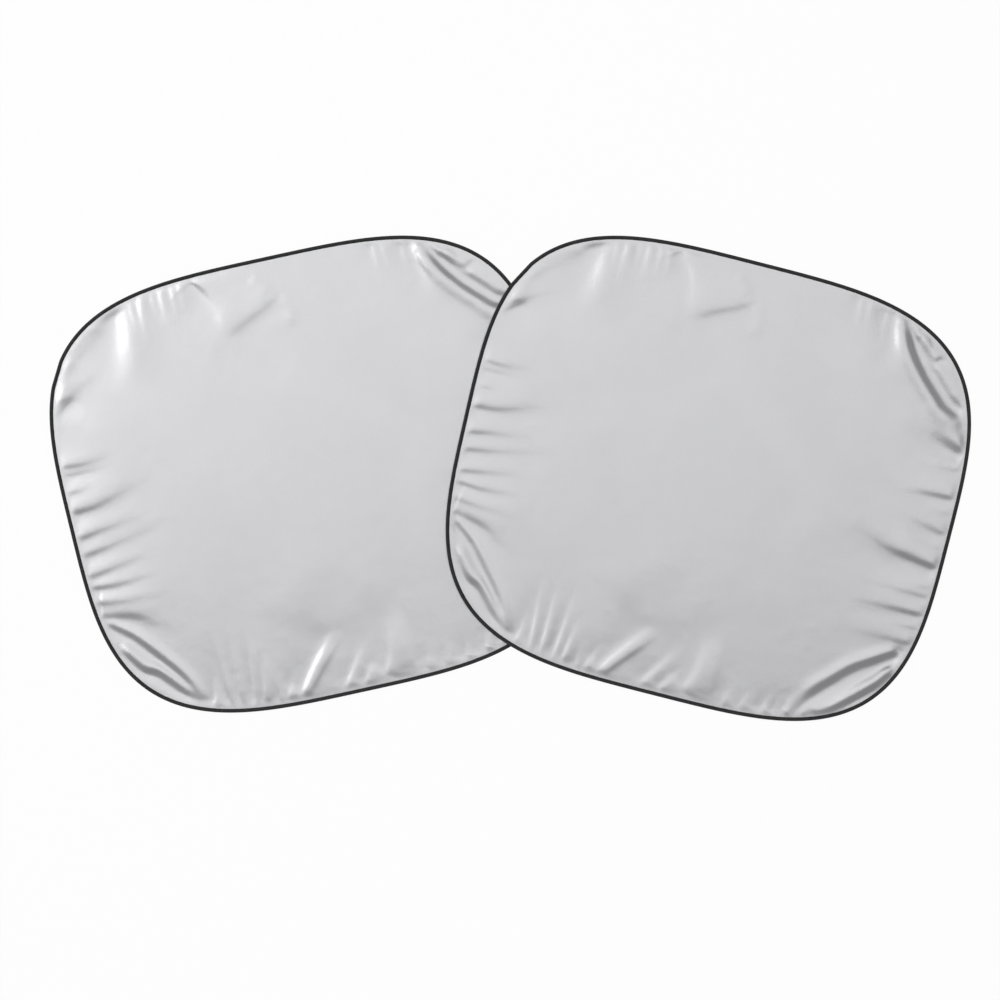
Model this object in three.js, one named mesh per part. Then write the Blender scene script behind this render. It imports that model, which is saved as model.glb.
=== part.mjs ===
// A two-piece windshield sunshade, in millimetres, with +Z up, lying on the floor.
// Two alike pop-up panels overlap in the middle, as they do behind a windshield. The front
// panel lies on the back panel's rim with one side and on the floor with the other.
// Each panel is a silver fabric sheet in a spring-wire hoop. A folded tape binds the wire and
// the fabric's edge, and a crimped sleeve joins the wire's two ends.

import * as THREE from "three";

// One panel, over its binding
const PANEL_WIDTH = 800;
const PANEL_HEIGHT = 712;
const OUTLINE_POWER = 3.5; // 2 is an ellipse, more is squarer
const TOP_FLARE = 0.012; // how much wider the top is than the middle, as a share
const TOP_SHIFT = -0.011; // how far the top leans across, as a share of its height

// The spring wire, and the sleeve over its two ends
const WIRE_DIAMETER = 2;
const WIRE_END_GAP = 1;
const SLEEVE_LENGTH = 36;
const SLEEVE_WALL = 0.35;
const SLEEVE_DIRECTION = 146; // degrees round from the panel's right-hand side
const STRAIGHT_BESIDE_SLEEVE = 3; // wire that stays straight past each end of the sleeve

// The edge binding, a tape folded over the wire
const TAPE_THICKNESS = 0.5;
const BINDING_WIDTH = 6; // as it shows on each face

// The fabric
const FABRIC_THICKNESS = 0.2;
const FABRIC_HELD = 1.3; // how deep its edge reaches between the binding's lips

const CLEARANCE = 0.3; // between pieces that touch on the real shade

// How the two panels lie
const PANEL_OVERLAP = 173; // how far their middles' widths overlap
const FRONT_PANEL_DROP = 7; // how much lower the front panel lies in plan
const FRONT_PANEL_TURN = -14.3; // degrees
const BACK_PANEL_TURN = 12.35;

// How finely the curves are divided
const HOOP_STATIONS = 72;
const HOOP_SAMPLES = 2000; // along its curve, from which the stations are chosen
const TUBE_CORNERS = 6; // of the wire, the sleeve and the tunnel
const RIM_CORNERS = 8; // of the binding's outside, if it went all the way round
const FOLD_STEPS = 12; // along each fold's line
const FABRIC_RINGS = [
  // inset from the fabric's free edge, and points round the ring
  { inset: 9, points: 360 },
  { inset: 28, points: 360 },
  { inset: 54, points: 288 },
  { inset: 92, points: 180 },
  { inset: 150, points: 90 },
  { inset: 240, points: 36 },
];

// Folds are drawn on a panel of this size and stretch with it
const DRAWN_WIDTH = 800;
const DRAWN_HEIGHT = 712;

const wireRadius = WIRE_DIAMETER / 2;
const sleeveBoreRadius = wireRadius + CLEARANCE;
const sleeveRadius = sleeveBoreRadius + SLEEVE_WALL;
const tunnelRadius = sleeveRadius + CLEARANCE;
const bindingRadius = tunnelRadius + TAPE_THICKNESS;
const bindingThickness = 2 * bindingRadius;
const lipEnd = bindingRadius - BINDING_WIDTH; // outward from the wire, so below zero
const lipInnerHeight = FABRIC_THICKNESS / 2 + CLEARANCE;
const lipOuterHeight = lipInnerHeight + TAPE_THICKNESS;
const straightLength = SLEEVE_LENGTH + 2 * STRAIGHT_BESIDE_SLEEVE;

// The wire's centre line: a rounded rectangle with bowed sides, counter-clockwise from the sleeve
class HoopCurve extends THREE.Curve {
  getPoint(t, target = new THREE.Vector3()) {
    const angle = THREE.MathUtils.degToRad(SLEEVE_DIRECTION) + 2 * Math.PI * t;
    const halfWidth = PANEL_WIDTH / 2 - bindingRadius;
    const halfHeight = PANEL_HEIGHT / 2 - bindingRadius;
    const [c, s] = [Math.cos(angle), Math.sin(angle)];
    const reach =
      (Math.abs(c / halfWidth) ** OUTLINE_POWER + Math.abs(s / halfHeight) ** OUTLINE_POWER) **
      (-1 / OUTLINE_POWER);
    const up = reach * s;
    const across = reach * c * (1 + (TOP_FLARE * up) / halfHeight) + TOP_SHIFT * up;
    return target.set(across, up, 0);
  }
}

// Points on the wire, closer together where it bends more. The last and the first are the two
// ends of the straight stretch.
function hoopPoints() {
  const hoop = new HoopCurve();
  hoop.arcLengthDivisions = HOOP_SAMPLES;
  const start = straightLength / 2 / hoop.getLength();
  const at = (i) => start + (1 - 2 * start) * (i / HOOP_SAMPLES);
  const travelled = [0];
  for (let i = 1; i <= HOOP_SAMPLES; i++) {
    const turn = hoop.getTangentAt(at(i)).angleTo(hoop.getTangentAt(at(i - 1)));
    travelled.push(travelled[i - 1] + 1 / HOOP_SAMPLES + turn / (2 * Math.PI));
  }
  return Array.from({ length: HOOP_STATIONS }, (_, k) => {
    const goal = (travelled[HOOP_SAMPLES] * k) / (HOOP_STATIONS - 1);
    const i = travelled.findIndex((value) => value >= goal - 1e-9);
    const { x, y } = hoop.getPointAt(at(i));
    return new THREE.Vector2(x, y);
  });
}

// Each point of a closed line with the direction that points out of the loop there
function loopFrames(points) {
  return points.map((point, i) => {
    const before = points.at(i - 1);
    const after = points[(i + 1) % points.length];
    const arriving = point.clone().sub(before).normalize();
    const leaving = after.clone().sub(point).normalize();
    const along = arriving.add(leaving).normalize();
    return { point, outward: new THREE.Vector2(along.y, -along.x) };
  });
}

const place = ({ point, outward }, [out, up]) => [
  point.x + outward.x * out,
  point.y + outward.y * out,
  up,
];

function meshGeometry(vertices, triangles) {
  const geometry = new THREE.BufferGeometry();
  geometry.setAttribute("position", new THREE.Float32BufferAttribute(vertices.flat(), 3));
  geometry.setIndex(triangles.flat());
  geometry.computeVertexNormals();
  return geometry;
}

// Carries a section, a counter-clockwise list of [out, up], along the frames of a loop
function sweep(section, frames, closed) {
  const sides = section.length;
  const vertices = frames.flatMap((frame) => section.map((corner) => place(frame, corner)));
  const triangles = [];
  const spans = closed ? frames.length : frames.length - 1;
  for (let span = 0; span < spans; span++) {
    const here = span * sides;
    const next = ((span + 1) % frames.length) * sides;
    for (let side = 0; side < sides; side++) {
      const other = (side + 1) % sides;
      triangles.push([here + side, next + side, here + other]);
      triangles.push([here + other, next + side, next + other]);
    }
  }
  if (!closed) {
    const cap = THREE.ShapeUtils.triangulateShape(
      section.map(([out, up]) => new THREE.Vector2(out, up)),
      [],
    );
    const last = (frames.length - 1) * sides;
    for (const [a, b, c] of cap) {
      triangles.push([a, b, c]);
      triangles.push([last + c, last + b, last + a]);
    }
  }
  return meshGeometry(vertices, triangles);
}

// A corner of a faceted tube about the wire's line, as [out, up]. The flats beside it lie at
// radius, where corners is how many the whole tube has.
function tubeCorner(radius, corners, degrees) {
  const angle = THREE.MathUtils.degToRad(degrees);
  const reach = radius / Math.cos(Math.PI / corners);
  return [reach * Math.cos(angle), reach * Math.sin(angle)];
}

const tubeRing = (radius) =>
  [-120, -60, 0, 60, 120, 180].map((degrees) => tubeCorner(radius, TUBE_CORNERS, degrees));

// The folded tape: round the tunnel outside, then back along both lips to the tunnel's wall
function bindingSection() {
  const outside = [-112.5, -67.5, -22.5, 22.5, 67.5, 112.5];
  const inside = [120, 60, 0, -60, -120];
  const [tunnelCorner] = tubeCorner(tunnelRadius, TUBE_CORNERS, 180);
  const throat = tunnelCorner + lipInnerHeight * Math.tan(Math.PI / TUBE_CORNERS);
  return [
    [lipEnd, -lipOuterHeight],
    ...outside.map((degrees) => tubeCorner(bindingRadius, RIM_CORNERS, degrees)),
    [lipEnd, lipOuterHeight],
    [lipEnd, lipInnerHeight],
    [throat, lipInnerHeight],
    ...inside.map((degrees) => tubeCorner(tunnelRadius, TUBE_CORNERS, degrees)),
    [throat, -lipInnerHeight],
    [lipEnd, -lipInnerHeight],
  ];
}

function bindingGeometry(points) {
  return sweep(bindingSection(), loopFrames(points), true);
}

// The straight stretch between the loop's last and first point, as a middle and two directions
function straightStretch(points) {
  const [first, last] = [points[0], points.at(-1)];
  const middle = first.clone().add(last).multiplyScalar(0.5);
  const along = first.clone().sub(last).normalize();
  return { middle, along, outward: new THREE.Vector2(along.y, -along.x) };
}

// The wire starts and ends inside the sleeve, a small gap apart
function wireGeometry(points) {
  const { middle, along, outward } = straightStretch(points);
  const end = (side) => ({
    point: middle.clone().addScaledVector(along, (side * WIRE_END_GAP) / 2),
    outward,
  });
  const frames = [end(1), ...loopFrames(points), end(-1)];
  return sweep(tubeRing(wireRadius), frames, false);
}

function sleeveMesh(points, material) {
  const { middle, along } = straightStretch(points);
  const ring = (radius) => tubeRing(radius).map(([x, y]) => new THREE.Vector2(x, y));
  const shape = new THREE.Shape(ring(sleeveRadius));
  shape.holes.push(new THREE.Path(ring(sleeveBoreRadius).reverse()));
  const geometry = new THREE.ExtrudeGeometry(shape, {
    depth: SLEEVE_LENGTH,
    bevelEnabled: false,
  });
  geometry.translate(0, 0, -SLEEVE_LENGTH / 2);
  geometry.rotateX(Math.PI / 2);
  const mesh = new THREE.Mesh(geometry, material);
  mesh.position.set(middle.x, middle.y, 0);
  mesh.rotation.z = Math.atan2(along.y, along.x) + Math.PI / 2;
  return mesh;
}

// Folds in the fabric. Each runs along a line through points given as [across, up] from the
// panel's centre. A ridge stands up along its line. A tuck is a sharp step: its left-hand side,
// looking along the line, is raised and its right-hand side is lowered. A crease is a rounder
// step. A negative height turns each over. width is how far it reaches to each side, at the two
// ends, and fade the share of the line over which it rises from its first end and dies away.
const FROM_EDGE = [0.04, 0.75];
const EDGE_TO_EDGE = [0.3, 0.3];
const DEEPEST_FOLD = 2.1; // folds stay off the floor under the panel
const HIGHEST_FOLD = 3.2;

const fold = (profile, height, width, points, fade) => {
  const line = new THREE.SplineCurve(
    points.map(
      ([x, y]) =>
        new THREE.Vector2((x * PANEL_WIDTH) / DRAWN_WIDTH, (y * PANEL_HEIGHT) / DRAWN_HEIGHT),
    ),
  );
  return { profile, height, width, line: line.getPoints(FOLD_STEPS), fade };
};
const ridgeProfile = (d) => Math.exp((-d * d) / 2);
const tuckProfile = (d) => d * Math.exp(1 - Math.abs(d));
const creaseProfile = (d) => d * Math.exp((1 - d * d) / 2);
const ridge = (height, width, points, fade = FROM_EDGE) =>
  fold(ridgeProfile, height, width, points, fade);
const tuck = (height, width, points, fade = FROM_EDGE) =>
  fold(tuckProfile, height, width, points, fade);
const crease = (height, width, points, fade = FROM_EDGE) =>
  fold(creaseProfile, height, width, points, fade);

const FOLDS = [
  // Left side, from the top down
  tuck(0.6, [7, 15], [[-391, 96], [-350, 95], [-300, 101]]),
  tuck(0.4, [6, 11], [[-391, 83], [-355, 82], [-315, 84]]),
  tuck(0.4, [6, 11], [[-392, 54], [-370, 54], [-340, 58]]),
  tuck(1.0, [9, 26], [[-393, 22], [-350, 25], [-300, 40], [-245, 58]]),
  tuck(0.9, [9, 20], [[-392, -22], [-340, -13], [-262, -2]]),
  tuck(0.9, [9, 20], [[-391, -50], [-340, -42], [-240, -20]]),
  tuck(0.9, [9, 18], [[-389, -85], [-340, -77], [-270, -64]]),
  tuck(0.9, [7, 13], [[-389, -103], [-340, -105], [-275, -100]]),
  tuck(0.9, [8, 20], [[-386, -128], [-340, -133], [-255, -136]]),
  // Bottom left corner
  tuck(1.1, [10, 24], [[-382, -150], [-330, -160], [-300, -178], [-255, -206]]),
  crease(
    1.3, [6, 7],
    [[-382, -160], [-340, -190], [-300, -235], [-270, -275], [-246, -322]],
    [0.1, 0.22],
  ),
  crease(
    1.5, [7, 7],
    [[-366, -202], [-335, -243], [-310, -258], [-280, -290], [-252, -322]],
    [0.12, 0.22],
  ),
  // Bottom edge, from the left
  tuck(-0.6, [6, 9], [[-237, -334], [-229, -305], [-224, -255]], [0.28, 0.7]),
  tuck(-0.8, [6, 10], [[-208, -338], [-212, -280], [-216, -205]], [0.28, 0.7]),
  tuck(-0.8, [6, 10], [[-191, -340], [-190, -280], [-190, -205]], [0.28, 0.7]),
  tuck(-0.8, [6, 10], [[-170, -342], [-165, -290], [-159, -218]], [0.28, 0.7]),
  tuck(-0.7, [6, 9], [[-155, -343], [-149, -305], [-142, -258]], [0.28, 0.7]),
  tuck(-0.4, [5, 8], [[-129, -344], [-130, -325], [-131, -295]], [0.28, 0.7]),
  tuck(-0.5, [6, 9], [[-119, -345], [-108, -322], [-96, -292]], [0.28, 0.7]),
  tuck(-0.9, [9, 13], [[-97, -342], [-65, -297], [-22, -245]], [0.2, 0.4]),
  tuck(0.4, [5, 8], [[-84, -344], [-50, -304], [-8, -258]], [0.2, 0.5]),
  tuck(-0.6, [6, 10], [[-28, -348], [0, -308], [34, -262]], [0.28, 0.7]),
  tuck(-0.5, [6, 9], [[4, -349], [20, -325], [42, -298]], [0.28, 0.7]),
  tuck(-0.7, [9, 22], [[42, -338], [58, -300], [66, -225]], [0.25, 0.5]),
  tuck(0.4, [10, 22], [[93, -336], [92, -300], [89, -235]], [0.3, 0.5]),
  tuck(-0.3, [5, 7], [[111, -347], [113, -330], [116, -304]], [0.28, 0.7]),
  tuck(-0.3, [5, 7], [[140, -346], [143, -330], [146, -308]], [0.28, 0.7]),
  tuck(-0.5, [6, 9], [[174, -344], [178, -325], [184, -296]], [0.28, 0.7]),
  tuck(-0.4, [5, 8], [[194, -342], [197, -322], [202, -296]], [0.28, 0.7]),
  // Bottom right corner
  tuck(-0.8, [6, 9], [[208, -340], [213, -318], [221, -290]]),
  tuck(-0.7, [6, 8], [[232, -335], [242, -312], [262, -285]]),
  crease(
    -1.7, [8, 8],
    [[366, -194], [332, -215], [300, -236], [274, -261], [252, -283], [238, -304], [228, -330]],
    [0.06, 0.45],
  ),
  tuck(0.6, [6, 6], [[372, -200], [338, -236], [302, -272], [258, -328]], [0.12, 0.12]),
  tuck(0.5, [5, 5], [[352, -232], [320, -262], [290, -296], [266, -324]], [0.2, 0.12]),
  crease(
    -2.0, [9, 9],
    [[372, -228], [346, -254], [312, -284], [288, -306], [262, -331]],
    [0.1, 0.1],
  ),
  // Right side, from the bottom up
  tuck(-0.5, [7, 12], [[381, -190], [360, -187], [325, -185]]),
  tuck(-0.7, [7, 22], [[385, -176], [330, -176], [230, -182]], [0.03, 0.9]),
  tuck(-0.4, [6, 10], [[388, -150], [365, -150], [330, -151]]),
  tuck(-0.8, [7, 15], [[390, -127], [330, -127], [250, -129]], [0.03, 0.8]),
  tuck(-0.5, [7, 14], [[391, -97], [345, -96], [260, -94]], [0.03, 0.8]),
  tuck(-0.3, [6, 10], [[392, -82], [370, -82], [345, -82]]),
  tuck(-1.5, [9, 24], [[395, -49], [345, -42], [300, -33], [222, 0]], [0.02, 0.6]),
  tuck(-0.4, [7, 11], [[394, -17], [375, -16], [345, -13]]),
  tuck(-0.8, [8, 22], [[395, 6], [355, 14], [290, 26]]),
  tuck(-0.4, [7, 11], [[394, 40], [375, 40], [345, 39]]),
  tuck(-0.8, [7, 13], [[393, 66], [350, 65], [295, 60]]),
  tuck(-0.3, [6, 12], [[391, 112], [360, 111], [305, 108]]),
  // Top right corner
  crease(-1.8, [8, 24], [[389, 141], [360, 150], [330, 165], [290, 190]], [0.03, 0.7]),
  crease(
    2.4, [11, 9],
    [[378, 187], [340, 203], [320, 221], [300, 240], [280, 262], [262, 286], [246, 312], [238, 336]],
    [0.12, 0.3],
  ),
  tuck(-0.6, [6, 7], [[372, 208], [345, 222], [322, 245], [302, 266]], [0.12, 0.2]),
  tuck(0.9, [6, 7], [[256, 328], [268, 308], [282, 290], [298, 268]], [0.1, 0.4]),
  tuck(-0.7, [5, 6], [[262, 326], [270, 312], [280, 298]], [0.1, 0.5]),
  tuck(-0.5, [5, 6], [[282, 316], [290, 303], [300, 288]], [0.1, 0.5]),
  tuck(0.6, [6, 7], [[306, 270], [314, 279], [330, 284]], EDGE_TO_EDGE),
  crease(1.7, [9, 22], [[231, 339], [238, 308], [246, 275], [244, 222]], [0.05, 0.6]),
  tuck(0.8, [6, 12], [[212, 341], [214, 305], [216, 262]], [0.06, 0.75]),
  tuck(0.5, [6, 8], [[182, 343], [184, 322], [186, 292]]),
  tuck(0.5, [6, 8], [[167, 344], [168, 320], [169, 290]]),
  // Top edge
  tuck(-0.7, [12, 16], [[14, 296], [-20, 277], [-52, 262], [-94, 240]], EDGE_TO_EDGE),
  ridge(0.4, [7, 9], [[5, 292], [19, 265], [12, 236]], EDGE_TO_EDGE),
  ridge(0.4, [6, 9], [[-34, 330], [-20, 315], [-6, 298]], EDGE_TO_EDGE),
  tuck(1.0, [8, 22], [[-127, 345], [-102, 305], [-90, 240]]),
  tuck(0.6, [6, 8], [[-149, 343], [-148, 322], [-147, 290]]),
  tuck(0.8, [6, 9], [[-162, 343], [-162, 320], [-161, 286]]),
  tuck(1.1, [7, 11], [[-181, 342], [-181, 315], [-180, 278]]),
  tuck(0.8, [6, 8], [[-195, 341], [-195, 322], [-194, 292]]),
  tuck(1.4, [8, 12], [[-216, 340], [-217, 305], [-217, 252]]),
  tuck(1.0, [7, 10], [[-232, 337], [-231, 310], [-229, 272]]),
  // Top left corner
  crease(1.8, [10, 26], [[-246, 336], [-253, 290], [-262, 195]], [0.04, 0.5]),
  tuck(0.7, [7, 10], [[-352, 262], [-322, 288], [-292, 311]], EDGE_TO_EDGE),
  tuck(0.7, [12, 20], [[-372, 218], [-345, 250], [-300, 284], [-262, 320]], EDGE_TO_EDGE),
  tuck(1.1, [10, 24], [[-386, 188], [-362, 202], [-335, 216], [-285, 240]], [0.3, 0.65]),
  tuck(0.5, [6, 8], [[-386, 178], [-370, 188], [-345, 206]], EDGE_TO_EDGE),
  // Broad waves in the middle
  crease(0.45, [28, 40], [[-100, -240], [-45, -200], [25, -150]], EDGE_TO_EDGE),
  crease(0.4, [24, 34], [[-60, -255], [10, -237], [80, -200]], EDGE_TO_EDGE),
  crease(0.4, [30, 40], [[-110, 250], [-60, 235], [20, 215]], EDGE_TO_EDGE),
];

// A fold's height at a point of the panel
function foldHeight({ profile, height, width, line, fade }, point) {
  let nearest = { distance: Infinity };
  for (let i = 0; i + 1 < line.length; i++) {
    const along = line[i + 1].clone().sub(line[i]);
    const from = point.clone().sub(line[i]);
    const share = THREE.MathUtils.clamp(from.dot(along) / along.lengthSq(), 0, 1);
    const distance = from.clone().addScaledVector(along, -share).length();
    if (distance < nearest.distance) {
      const side = Math.sign(along.cross(from)) || 1;
      nearest = { distance, side, travelled: (i + share) / (line.length - 1) };
    }
  }
  const { distance, side, travelled } = nearest;
  const halfWidth = THREE.MathUtils.lerp(...width, travelled);
  const rise = THREE.MathUtils.smoothstep(travelled, 0, fade[0]);
  const fall = THREE.MathUtils.smoothstep(1 - travelled, 0, fade[1]);
  return height * rise * fall * profile((side * distance) / halfWidth);
}

function fabricHeight(point) {
  const height = FOLDS.reduce((sum, each) => sum + foldHeight(each, point), 0);
  const most = height > 0 ? HIGHEST_FOLD : DEEPEST_FOLD;
  return most * Math.tanh(height / most);
}

const everyOther = (list) => list.filter((_, i) => i % 2 === 0);

// How far round a closed line each of its points lies, as a share of its length
function sharesAlong(line) {
  const lengths = line.map((point, i) => point.distanceTo(line[(i + 1) % line.length]));
  const total = lengths.reduce((sum, length) => sum + length);
  let travelled = 0;
  return lengths.map((length) => {
    travelled += length;
    return travelled / total;
  });
}

// The same closed line with its sides divided, into about n points in all
function divideLoop(points, n) {
  const shares = sharesAlong(points);
  return points.flatMap((point, i) => {
    const next = points[(i + 1) % points.length];
    const parts = Math.max(1, Math.round((shares[i] - (shares[i - 1] ?? 0)) * n));
    return Array.from({ length: parts }, (_, k) => point.clone().lerp(next, k / parts));
  });
}

// Triangles of the band between two rings that start at the same side of the panel
function band(outer, inner) {
  const triangles = [];
  let [i, j] = [0, 0];
  while (i < outer.shares.length || j < inner.shares.length) {
    const outerNow = outer.first + (i % outer.shares.length);
    const innerNow = inner.first + (j % inner.shares.length);
    if ((outer.shares[i] ?? Infinity) <= (inner.shares[j] ?? Infinity)) {
      i++;
      triangles.push([outerNow, outer.first + (i % outer.shares.length), innerNow]);
    } else {
      j++;
      triangles.push([outerNow, inner.first + (j % inner.shares.length), innerNow]);
    }
  }
  return triangles;
}

// The sheet lies flat between the binding's lips and is folded inside them
function fabricGeometry(points) {
  const frames = loopFrames(points);
  const edge = (out) =>
    frames.map(({ point, outward }) => point.clone().addScaledVector(outward, out));
  const freeEdge = edge(lipEnd - CLEARANCE);
  const shrunk = (inset) =>
    freeEdge.map((point) => point.clone().multiplyScalar(1 - (2 * inset) / PANEL_HEIGHT));
  const rings = [
    { line: edge(lipEnd + FABRIC_HELD), folded: false },
    { line: divideLoop(freeEdge, FABRIC_RINGS[0].points), folded: false },
    ...FABRIC_RINGS.map(({ inset, points: count }) => ({
      line: divideLoop(count < HOOP_STATIONS ? everyOther(shrunk(inset)) : shrunk(inset), count),
      folded: true,
    })),
  ];

  const vertices = [];
  const face = (lift) =>
    rings.map(({ line, folded }) => {
      const first = vertices.length;
      for (const point of line) {
        vertices.push([point.x, point.y, lift + (folded ? fabricHeight(point) : 0)]);
      }
      return { first, shares: sharesAlong(line) };
    });
  const top = face(FABRIC_THICKNESS / 2);
  const bottom = face(-FABRIC_THICKNESS / 2);

  const triangles = [...band(bottom[0], top[0])];
  for (let i = 0; i + 1 < rings.length; i++) {
    triangles.push(...band(top[i], top[i + 1]));
    triangles.push(...band(bottom[i], bottom[i + 1]).map(([a, b, c]) => [c, b, a]));
  }
  const middle = THREE.ShapeUtils.triangulateShape(rings.at(-1).line, []);
  for (const corners of middle) {
    triangles.push(corners.map((i) => top.at(-1).first + i));
    triangles.push(corners.map((i) => bottom.at(-1).first + i).reverse());
  }
  return meshGeometry(vertices, triangles);
}

const silver = new THREE.MeshStandardMaterial({ color: 0xc8c8ca, roughness: 0.42, metalness: 0.5 });
const black = new THREE.MeshStandardMaterial({ color: 0x222223, roughness: 0.8, metalness: 0 });
const steel = new THREE.MeshStandardMaterial({ color: 0x8d8f93, roughness: 0.35, metalness: 1 });
const crimped = new THREE.MeshStandardMaterial({ color: 0xa8a49a, roughness: 0.45, metalness: 1 });

// One panel about its own centre, with the wire's line in the plane z = 0
function makePanel(name, points) {
  const panel = new THREE.Group();
  const pieces = {
    fabric: new THREE.Mesh(fabricGeometry(points), silver),
    binding: new THREE.Mesh(bindingGeometry(points), black),
    spring_wire: new THREE.Mesh(wireGeometry(points), steel),
    wire_sleeve: sleeveMesh(points, crimped),
  };
  for (const [piece, mesh] of Object.entries(pieces)) {
    mesh.name = `${name}_${piece}`;
    panel.add(mesh);
  }
  return panel;
}

// Points of a panel's hoop in plan, turned and moved to where the panel lies
const inPlan = (points, turn, centre) =>
  points.map((point) =>
    point.clone().rotateAround(new THREE.Vector2(), THREE.MathUtils.degToRad(turn)).add(centre),
  );

// Where two closed lines cross
function crossings(a, b) {
  const found = [];
  a.forEach((start, i) => {
    const along = a[(i + 1) % a.length].clone().sub(start);
    b.forEach((other, j) => {
      const across = b[(j + 1) % b.length].clone().sub(other);
      const between = other.clone().sub(start);
      const scale = along.cross(across);
      const [s, t] = [between.cross(across) / scale, between.cross(along) / scale];
      if (s >= 0 && s < 1 && t >= 0 && t < 1) found.push(start.clone().addScaledVector(along, s));
    });
  });
  return found;
}

const points = hoopPoints();
const frontCentre = new THREE.Vector2(PANEL_WIDTH - PANEL_OVERLAP, -FRONT_PANEL_DROP);
const frontLoop = inPlan(points, FRONT_PANEL_TURN, frontCentre);
const backLoop = inPlan(points, BACK_PANEL_TURN, new THREE.Vector2());

// The front panel leans: its far side is on the floor, and its rim clears the back panel's rim
const farSide = Math.max(...frontLoop.map(({ x }) => x));
const lift = bindingThickness + CLEARANCE;
const slopes = crossings(frontLoop, backLoop).map(({ x }) => lift / (farSide - x));
const leanSine = Math.max(0, ...slopes);

const back = makePanel("back_panel", points);
back.rotation.z = THREE.MathUtils.degToRad(BACK_PANEL_TURN);

const front = new THREE.Group();
const turned = makePanel("front_panel", points);
turned.rotation.z = THREE.MathUtils.degToRad(FRONT_PANEL_TURN);
front.add(turned);
front.rotation.y = Math.asin(leanSine);
front.position.set(frontCentre.x, frontCentre.y, 0);

const sunshade = new THREE.Group();
sunshade.add(back, front);

// Both panels touch the floor. The origin is on it, under the middle of the whole shade.
sunshade.updateMatrixWorld(true);
for (const panel of [back, front]) {
  panel.position.z -= new THREE.Box3().setFromObject(panel, true).min.z;
}
const middle = new THREE.Box3().setFromObject(sunshade, true).getCenter(new THREE.Vector3());
for (const panel of [back, front]) {
  panel.position.x -= middle.x;
  panel.position.y -= middle.y;
}

export default sunshade;
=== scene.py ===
"""Finishes the two-panel windshield sunshade: fabric, taped rims, stitches, wires and a studio."""

import math

import bpy
import numpy as np
from bpy.props import FloatProperty, FloatVectorProperty, IntProperty, PointerProperty
from mathutils import Matrix, Vector


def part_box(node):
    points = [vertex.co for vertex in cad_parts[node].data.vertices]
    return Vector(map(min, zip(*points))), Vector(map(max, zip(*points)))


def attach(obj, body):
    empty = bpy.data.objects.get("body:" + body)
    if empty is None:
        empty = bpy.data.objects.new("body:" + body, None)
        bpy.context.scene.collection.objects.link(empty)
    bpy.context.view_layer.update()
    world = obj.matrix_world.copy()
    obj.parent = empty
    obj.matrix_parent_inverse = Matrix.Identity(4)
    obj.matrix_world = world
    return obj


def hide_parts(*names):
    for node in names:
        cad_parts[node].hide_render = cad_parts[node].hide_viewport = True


bl_info = {
    "name": "Windshield Sunshade",
    "version": (1, 0, 0),
    "blender": (4, 5, 0),
    "location": "3D View > Sidebar > Sunshade",
    "description": "Finishes a two-panel pop-up windshield sunshade with fabric, rims, stitches and wires",
    "category": "Object",
}

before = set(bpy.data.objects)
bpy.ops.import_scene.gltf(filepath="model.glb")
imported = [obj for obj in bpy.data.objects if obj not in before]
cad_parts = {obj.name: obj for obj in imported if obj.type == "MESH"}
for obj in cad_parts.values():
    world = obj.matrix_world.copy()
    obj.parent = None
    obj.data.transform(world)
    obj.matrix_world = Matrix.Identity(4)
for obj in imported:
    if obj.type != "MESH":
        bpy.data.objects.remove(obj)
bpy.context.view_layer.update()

MM = 0.001
BODY = "root"
PANELS = {"back_panel": 12.35, "front_panel": -14.3}  # each panel's turn, in degrees

# The hoop's outline
OUTLINE_POWER = 3.5  # 2 is an ellipse, more is squarer
TOP_FLARE = 0.012  # how much wider the top is than the middle, as a share
TOP_SHIFT = -0.011  # how far the top leans across, as a share of its height
SLEEVE_DIRECTION = 146.0  # degrees round from the panel's right-hand side
STRAIGHT_LENGTH = 42 * MM  # beside and inside the wire's sleeve
OUTLINE_SAMPLES = 8001  # along the outline, from which the stations are chosen
MEASURING_STATIONS = 720  # along the hoop, for its length, area and place

# The rim tape's section, outward from the wire's middle and up
TUNNEL_RADIUS = 1.95 * MM
OUTSIDE_ARC = np.arange(0, 116, 11.5)  # degrees, from the outermost point to the shoulder
TUNNEL_ARC = np.arange(166, 0, -20.75)  # degrees, from the lips to the outermost point
SHOULDER = [(-1.45, 1.93), (-1.8, 1.55), (-2.12, 1.22), (-2.5, 1.02), (-3.0, 0.93)]  # millimetres
LIP_EDGE = [(0.1, 0.9), (0.02, 0.82), (0, 0.65), (0.02, 0.48), (0.1, 0.4)]  # from the lip's end
LIP_SWAYS = [(0.07, 3.1, 0), (0.06, 5.3, 1)]  # millimetres out, millimetres a radian, and a shift
SWAY_START = 2.2 * MM  # in from the wire's middle
SWAY_WHOLE = 3.4 * MM
LIP_HEIGHT = 0.93 * MM  # of the lips' faces
FABRIC_HELD = 1.3 * MM  # how deep the fabric's edge reaches between the lips
FABRIC_CLEAR = 0.3 * MM  # from the lips' ends to where the fabric starts to fold

# The stitches
STITCH_INSET = 0.85 * MM  # from the lips' ends
STITCH_HALF_LENGTH = 0.41  # as a share of the pitch
STITCH_STEPS = 5
STITCH_DIP = 0.32 * MM  # how far its ends go into the tape
THREAD_STANDS = 0.4  # how far its middle is above the lip, as a share of the thread's radius
THREAD_CORNERS = [90, 162, 234, 306, 18]  # degrees

# The fabric's rings, as insets in millimetres, closest together where the folds are
FINE_RINGS = np.arange(0, 120, 3)
MIDDLING_RINGS = np.linspace(120, 225, 13)
COARSE_START = 235
COARSE_RINGS = 9
INNERMOST = 0.97  # as a share of half the panel's height

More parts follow.
